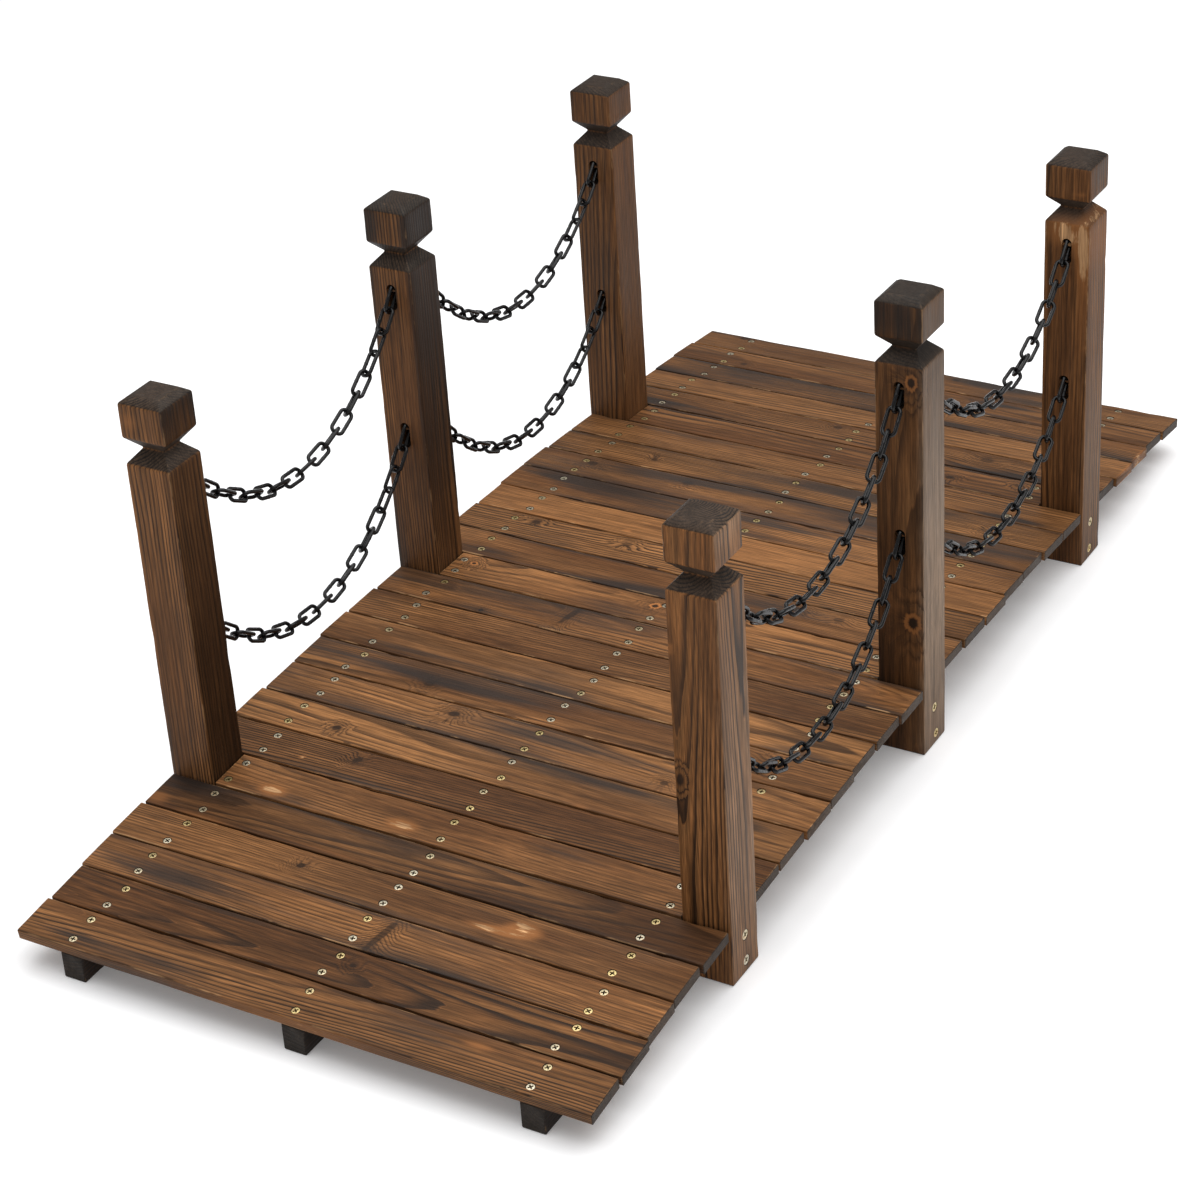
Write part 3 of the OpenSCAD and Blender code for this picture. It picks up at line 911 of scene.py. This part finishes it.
def post_rings(index, cx, cy, top, half, profile):
    """A ring at each point of the outline, with worn corners, and two more that close the crown."""
    heights = np.array([z for _, z in profile])
    corner = [worn_radius(700 + 9 * index + k, heights, POST_ARRIS, 3, 0.0018) for k in range(4)]
    rings = []
    for i, (h, z) in enumerate(profile):
        dent = 0.0001 * (1 + soft_noise(720 + index, z, 0, 0.05))
        rings.append(post_ring(cx, cy, z, h - dent, [corner[k][i] for k in range(4)]))
    for share, rise in ((0.7, CROWN / 2), (0.35, CROWN)):
        rings.append(post_ring(cx, cy, top - CROWN + rise, (half - CAP_SLOPE) * share, [0.002] * 4))
    return np.array(rings)


def build_posts(material):
    """All six posts. Gives back their screws: (place, up, turn, radius)."""
    places = []
    for index, name in enumerate(POSTS):
        low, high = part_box(name)
        cx, cy, half = (low[0] + high[0]) / 2, (low[1] + high[1]) / 2, (high[0] - low[0]) / 2
        profile = post_outline(half, low[2], high[2])
        piece = loft(name + "_timber", post_rings(index, cx, cy, high[2], half, profile))
        cutters = slot_cutters(name, cx, cy, half) + pin_bores(cx, cy, half)
        outer = 1 if cx > 0 else -1
        up = (outer, 0, 0)
        rng = np.random.default_rng(60 + index)
        for level in POST_SCREW_HEIGHTS:
            at = (cx + outer * half, cy + rng.uniform(-0.002, 0.004), level + rng.uniform(-0.002, 0.002))
            cutters.append(screw_hole(POST_SCREW_RADIUS, 0.0003, up, at))
            places.append((at, up, rng.uniform(0, math.pi / 2), POST_SCREW_RADIUS))
        cut(piece, cutters)

        def size(local):
            widths, heights = zip(*profile)
            h = np.interp(local[:, 0], heights, widths)
            return np.stack([np.full(len(local), high[2]), h, h], 1)

        dress(piece, [(0, 0, 1), (1, 0, 0), (0, 1, 0)], np.array([cx, cy, 0.0]), size, post_look(name))
        finish_piece(piece, material, [name])
    return places


# ---- screws
def screw(place, radius):
    """A countersunk screw head with a cross recess, and its shank's top."""
    arm, reach, deep = radius * 0.19, radius * 0.68, radius * 0.42
    cross = [(reach, -arm), (reach, arm), (arm, arm), (arm, reach), (-arm, reach), (-arm, arm), (-reach, arm),
             (-reach, -arm), (-arm, -arm), (-arm, -reach), (arm, -reach), (arm, -arm)]
    n = len(cross)
    around = 2 * n    # points in each round ring, and the number of points before the first ring
    angles = [math.atan2(y, x) for x, y in cross]
    for i in range(1, n):
        while angles[i] < angles[i - 1] - 1e-6:
            angles[i] += 2 * math.pi
    rim = []
    for here, after in zip(angles, angles[1:] + [angles[0] + 2 * math.pi]):
        rim += [here, (here + after) / 2]
    verts = [(x, y, 0.0) for x, y in cross]
    verts += [(x * 0.72, y * 0.72, -deep) for x, y in cross]
    profile = ((0.87, 0.0), (1.0, -0.00012), (0.98, -0.0004), (0.45, -0.0024), (0.42, -0.005))
    for r, z in profile:
        verts += [(radius * r * math.cos(t), radius * r * math.sin(t), z) for t in rim]
    faces = []
    for i in range(n):
        k = (i + 1) % n
        faces.append((i, k, around + (2 * i + 2) % around, around + 2 * i + 1, around + 2 * i))
        faces.append((i, k, n + k, n + i))
    faces.append(tuple(range(n, 2 * n)))
    for ring in range(len(profile) - 1):
        a, b = around + around * ring, 2 * around + around * ring
        faces += [(a + j, a + (j + 1) % around, b + (j + 1) % around, b + j) for j in range(around)]
    faces.append(tuple(range(around * len(profile), around * len(profile) + around)))
    return [place @ Vector(v) for v in verts], faces


def joined(name, pieces, tints, shaded_points=()):
    """One mesh of many small shapes, with the listed vertices of each marked for painted shade."""
    verts, faces, tint = [], [], []
    for (more, more_faces), value in zip(pieces, tints):
        base = len(verts)
        verts += [tuple(v) for v in more]
        faces += [tuple(base + i for i in f) for f in more_faces]
        tint += [(value, 1.0 if i in shaded_points else 0.0, 0.0) for i in range(len(more))]
    made = mesh_object(name, verts, faces)
    face_outward(made.data)
    vector_attribute(made.data, "piece", np.array(tint))
    return made


def build_screws(boards, places, post_places, material):
    rng = np.random.default_rng(21)
    shaded_points = {*range(12, 24), *range(48, 144)}    # painted shade: the recess's floor, and all rings from the rim down
    for row, side in enumerate(("left", "middle", "right")):
        shapes = []
        for index, r, at, u, sink, up, turn in places:
            if r == row:
                lean = Vector(up) + Vector((rng.uniform(-0.05, 0.05), rng.uniform(-0.05, 0.05), 0))
                shapes.append(screw(axis_matrix(lean, boards[index].point(at, u, sink), turn), HEAD_RADIUS))
        piece = joined("deck_screws_" + side, shapes, rng.uniform(0, 1, len(shapes)), shaded_points)
        finish_piece(piece, material, [], 30)
    shapes = [screw(axis_matrix(up, Vector(at) - Vector(up) * HEAD_SINK, turn), radius)
              for at, up, turn, radius in post_places]
    piece = joined("post_screws", shapes, rng.uniform(0, 1, len(shapes)), shaded_points)
    finish_piece(piece, material, [], 30)


def zinc_material():
    g = Graph("yellow_zinc")
    tint, painted_shade, _ = g.split(g.attribute("piece"))
    place = g.node("ShaderNodeNewGeometry").outputs["Position"]
    stain = g.noise(place, scale=420.0, detail=3)
    fine = g.noise(place, scale=2600.0, detail=2)
    colour = g.mix(g.ramp(tint, 0.25, 0.75), ZINC_YELLOW, ZINC_PALE)
    colour = g.mix(g.ramp(stain, 0.5, 0.7), colour, ZINC_STAIN)
    colour = g.scaled(colour, g.linear(fine, 0.4, 0.75))
    # painted shade in the cross recess, and a painted shadow ring round the countersunk rim
    colour = g.mix(g.times(painted_shade, 0.93), colour, SCREW_PAINTED_SHADE)
    rough = g.linear(stain, 0.25, 0.28)
    return g.surface(colour, rough, g.times(fine, 0.00003), Metallic=0.9)


# ---- chains and pins
def link_shape(points, rng):
    """A welded link swept round its own flat loop, sized and placed by the CAD link's points."""
    centre = points.mean(0)
    flat = points - centre
    _, vectors = np.linalg.eigh(flat.T @ flat)
    long, wide, thin = vectors[:, 2], vectors[:, 1], vectors[:, 0]
    reach = [((flat @ a).max() + (flat @ a).min()) / 2 for a in (long, wide, thin)]
    centre = centre + long * reach[0] + wide * reach[1] + thin * reach[2]
    a, b, wire = ((flat @ d).max() - (flat @ d).min() for d in (long, wide, thin))
    wire /= 2
    a, b = a / 2 - wire, b / 2 - wire
    r = CORNER_BEND
    path = []
    for k, (sa, sb) in enumerate(((1, 1), (-1, 1), (-1, -1), (1, -1))):
        for f in np.linspace(0, 1, 7):
            t = (k + f) * math.pi / 2
            na, nb = math.cos(t), math.sin(t)
            path.append((sa * (a - r) + r * na, sb * (b - r) + r * nb, na, nb))
        if k in (0, 2):
            for f in (0.3, 0.42, 0.5, 0.58, 0.7):
                path.append(((1 - 2 * f) * (a - r) * sa, sb * b, 0.0, float(sb)))
    weld_side = -1 if rng.uniform() < 0.5 else 1
    verts, around = [], 12
    for pa, pb, na, nb in path:
        on_weld = abs(pa) < WELD_HALF and pb * weld_side > 0 and abs(nb) > 0.99
        swell = WELD_SWELL if on_weld else 1.0
        for j in range(around):
            t = 2 * math.pi * j / around
            out, off = wire * swell * math.cos(t), wire * swell * math.sin(t)
            verts.append(centre + long * (pa + na * out) + wide * (pb + nb * out) + thin * off)
    return verts, tube_faces(len(path), around, closed=True)


def build_chains(material):
    rng = np.random.default_rng(31)
    for name in CHAINS:
        shapes = [link_shape(part, rng) for part in loose_parts(name)]
        piece = joined(name + "_links", shapes, rng.uniform(0, 1, len(shapes)))
        finish_piece(piece, material, [name], 60)


def build_pins(material):
    shapes = []
    for part in loose_parts("chain_pins"):
        low, high = part.min(0), part.max(0)
        r, length = (high[2] - low[2]) / 2, high[0] - low[0]
        profile = [(r * 0.80, 0.0002), (r * 0.95, 0.0005), (r, 0.0010), (r, length * 0.5),
                   (r, length - 0.0008), (r * 0.7, length)]
        place = axis_matrix((1, 0, 0), (low[0], (low[1] + high[1]) / 2, (low[2] + high[2]) / 2), 0.3)
        shapes.append(turned(profile, 20, place))
    piece = joined("chain_pin_rods", shapes, [0.9] * len(shapes))
    finish_piece(piece, material, ["chain_pins"], 35)


def chain_material():
    g = Graph("black_enamel")
    place = g.node("ShaderNodeNewGeometry").outputs["Position"]
    lumps = g.noise(place, scale=260.0, detail=3)
    dust = g.noise(place, scale=900.0, detail=3)
    scuff = g.ramp(g.noise(place, scale=333.0, detail=5, rough=0.7), 0.66, 0.74)
    colour = g.mix(dust, ENAMEL, ENAMEL_DUSTY)
    colour = g.mix(g.times(scuff, 0.5), colour, ENAMEL_SCUFF)
    rough = g.linear(lumps, 0.16, 0.06)
    height = g.linear(lumps, 0.00009, g.times(dust, 0.00001))
    return g.surface(colour, rough, height, Specular_IOR_Level=0.26)


# ---- studio
def build_floor():
    corners = [(FLOOR_HALF * x, FLOOR_HALF * y, 0) for x, y in ((-1, -1), (1, -1), (1, 1), (-1, 1))]
    floor = mesh_object("studio_floor", corners, [(0, 1, 2, 3)])
    g = Graph("floor_paper")
    place = g.node("ShaderNodeNewGeometry").outputs["Position"]
    mottle = g.noise(place, scale=3.0, detail=3)
    colour = g.mix(mottle, PAPER_LOW, PAPER_HIGH)
    paper = g.surface(colour, 0.85, Specular_IOR_Level=0.1,
                      Emission_Color=WHITE, Emission_Strength=FLOOR_GLOW)
    floor.data.materials.append(paper)


def area_light(name, place, target, size, power):
    """A square light at a place, turned to a target."""
    data = bpy.data.lights.new(name, "AREA")
    data.shape, data.size, data.size_y = "RECTANGLE", size, size
    data.energy = power
    lamp = bpy.data.objects.new(name, data)
    bpy.context.scene.collection.objects.link(lamp)
    lamp.location = place
    lamp.rotation_euler = (Vector(target) - Vector(place)).to_track_quat("-Z", "Y").to_euler()


def build_lights():
    world = bpy.data.worlds.new("studio")
    world.use_nodes = True
    background = world.node_tree.nodes["Background"]
    background.inputs["Color"].default_value = WHITE
    background.inputs["Strength"].default_value = WORLD_LIGHT
    bpy.context.scene.world = world
    area_light("top_soft", (0.3, 0.2, 3.3), (0, 0, 0), TOP_LIGHT_SIZE, TOP_LIGHT_POWER)


def build_camera():
    """The photographer's place: turned and tipped round a point by the middle of the deck."""
    azimuth, elevation, roll = (math.radians(v) for v in (31.489, 30.395, -3.834))
    target, distance = Vector((-0.05077, -0.048933, 0.116)), 3.448555
    back = Vector((math.sin(azimuth) * math.cos(elevation), -math.cos(azimuth) * math.cos(elevation),
                   math.sin(elevation)))
    right = Vector((0, 0, 1)).cross(back).normalized()
    up = back.cross(right)
    side = right * math.cos(roll) + up * math.sin(roll)
    top = up * math.cos(roll) - right * math.sin(roll)
    data = bpy.data.cameras.new("camera")
    data.sensor_width, data.lens = 36.0, 92.576
    data.clip_start, data.clip_end = 0.1, 60.0
    camera = bpy.data.objects.new("camera", data)
    bpy.context.scene.collection.objects.link(camera)
    rotation = Matrix((side, top, back)).transposed().to_4x4()
    camera.matrix_world = Matrix.Translation(target + back * distance) @ rotation
    bpy.context.scene.camera = camera
    bpy.context.scene.view_settings.view_transform = "Standard"


# ---- the bridge
build_camera()
build_lights()
build_floor()
boards, screw_spots = build_planks(wood_material("deck_fir", (1.0, 0.0, 0.0)))
build_stringers(wood_material("stringer_fir", (0.0, 1.0, 0.0)))
post_spots = build_posts(wood_material("post_fir", (0.0, 0.0, 1.0)))
zinc = zinc_material()
build_screws(boards, screw_spots, post_spots, zinc)
build_chains(chain_material())
build_pins(zinc)
